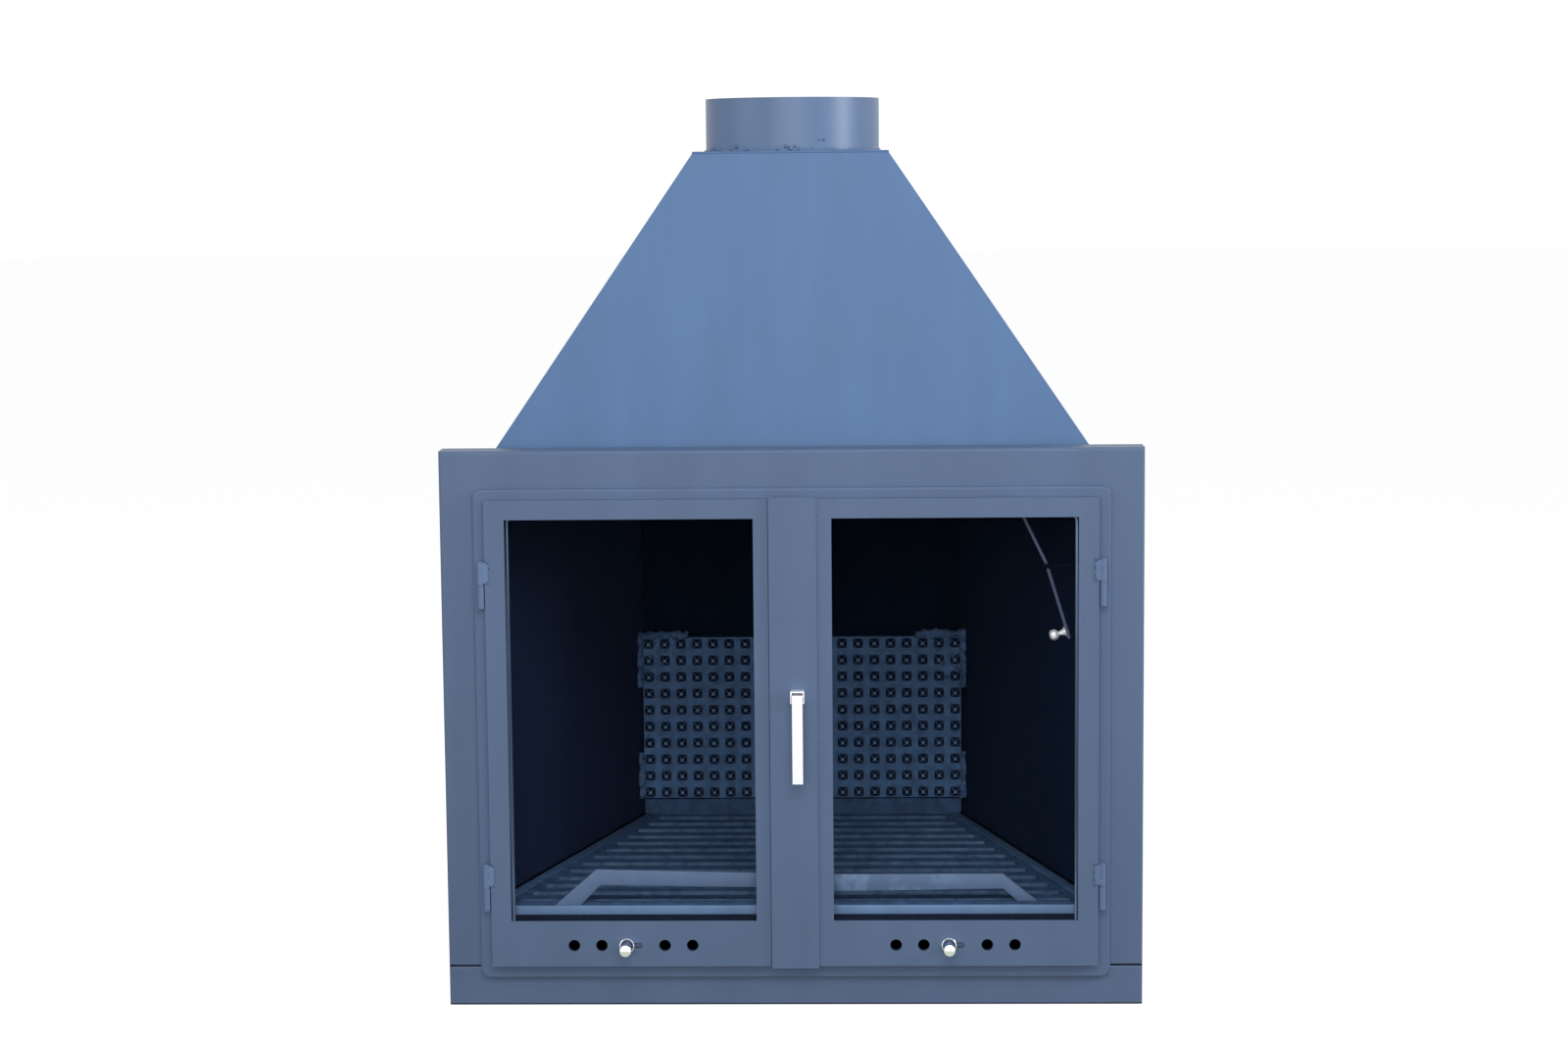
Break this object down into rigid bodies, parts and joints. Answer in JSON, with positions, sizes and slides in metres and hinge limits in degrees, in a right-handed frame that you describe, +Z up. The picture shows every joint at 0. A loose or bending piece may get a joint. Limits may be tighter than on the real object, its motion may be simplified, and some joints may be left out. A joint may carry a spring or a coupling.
{
  "type": "fireplace insert",
  "caption": "Wood-burning firebox insert with a pyramid hood and round flue collar, a folded trim frame, glazed twin doors on a raised rim, a slatted grate and a studded fireback.",
  "frame": {"origin": "on the floor under the axis of the flue collar", "axes": "+Z up along the flue, +Y to the back, +X to the right of somebody facing the doors"},
  "size_m": [0.97, 0.6663, 1.262],
  "materials": {
    "outer_paint": "satin blue-grey heat-resistant paint on welded sheet",
    "inner_paint": "dark matt paint on plate",
    "plain_steel": "plain drawn steel",
    "cast": "rough cast, painted thinly",
    "glass": "clear heat-resistant pane",
    "seal": "woven flat tape",
    "chrome": "bright plated"
  },
  "bodies": {
    "firebox": {"base_plate": "inner_paint", "left_wall": "inner_paint", "right_wall": "inner_paint", "rear_wall": "inner_paint", "top_frame": "inner_paint", "hood_shell": "outer_paint", "hood_top_plate": "outer_paint", "flue_collar": "outer_paint", "trim_frame": "outer_paint", "sill_strip": "outer_paint", "door_rim": "outer_paint", "smoke_shelf": "inner_paint", "shaft_bearings": "inner_paint", "lever_peg": "inner_paint", "fireback": "cast", "fireback_clips": "inner_paint", "rear_ledge": "inner_paint", "grate_rails": "inner_paint", "grate": "cast", "front_bar": "outer_paint", "log_guard": "outer_paint", "rim_hinge_halves": "outer_paint", "hinge_pins": "plain_steel"},
    "left_door": {"left_door_frame": "outer_paint", "left_glass": "glass", "left_glass_seal": "seal", "left_glass_clips": "plain_steel", "left_hinge_halves": "outer_paint", "left_slide_guides": "inner_paint", "latch_keeper": "plain_steel"},
    "right_door": {"right_door_frame": "outer_paint", "right_glass": "glass", "right_glass_seal": "seal", "right_glass_clips": "plain_steel", "right_hinge_halves": "outer_paint", "right_slide_guides": "inner_paint", "cover_strip": "outer_paint"},
    "left_air_slide": {"left_air_plate": "inner_paint", "left_air_knob": "chrome"},
    "right_air_slide": {"right_air_plate": "inner_paint", "right_air_knob": "chrome"},
    "handle": {"handle_tube_head": "chrome", "handle_grip_bar": "chrome", "latch_spindle": "plain_steel", "latch_tongue": "plain_steel"},
    "damper": {"damper_shaft": "plain_steel", "damper_flap": "inner_paint", "damper_lever": "inner_paint", "damper_knob": "chrome"}
  },
  "joints": [
    {"name": "right_door_hinge", "type": "hinge", "parent": "firebox", "child": "right_door", "pos_m": [0.4273, -0.292, 0.172], "axis": [0, 0, 1], "range_deg": [0, 110]},
    {"name": "left_door_hinge", "type": "hinge", "parent": "firebox", "child": "left_door", "pos_m": [-0.4273, -0.292, 0.172], "axis": [0, 0, 1], "range_deg": [-110, 0]},
    {"name": "left_air_slide", "type": "slide", "parent": "left_door", "child": "left_air_slide", "axis": [1, 0, 0], "range_m": [0, 0.018]},
    {"name": "right_air_slide", "type": "slide", "parent": "right_door", "child": "right_air_slide", "axis": [1, 0, 0], "range_m": [0, 0.018]},
    {"name": "handle_turn", "type": "hinge", "parent": "right_door", "child": "handle", "pos_m": [0.0075, -0.3, 0.444], "axis": [0, 1, 0], "range_deg": [0, 90]},
    {"name": "damper_turn", "type": "hinge", "parent": "firebox", "child": "damper", "pos_m": [0, -0.241, 0.735], "axis": [1, 0, 0], "range_deg": [0, 28]}
  ],
  "couplings": [
    {"joint": "left_door_hinge", "follows": "right_door_hinge", "ratio": -1}
  ]
}
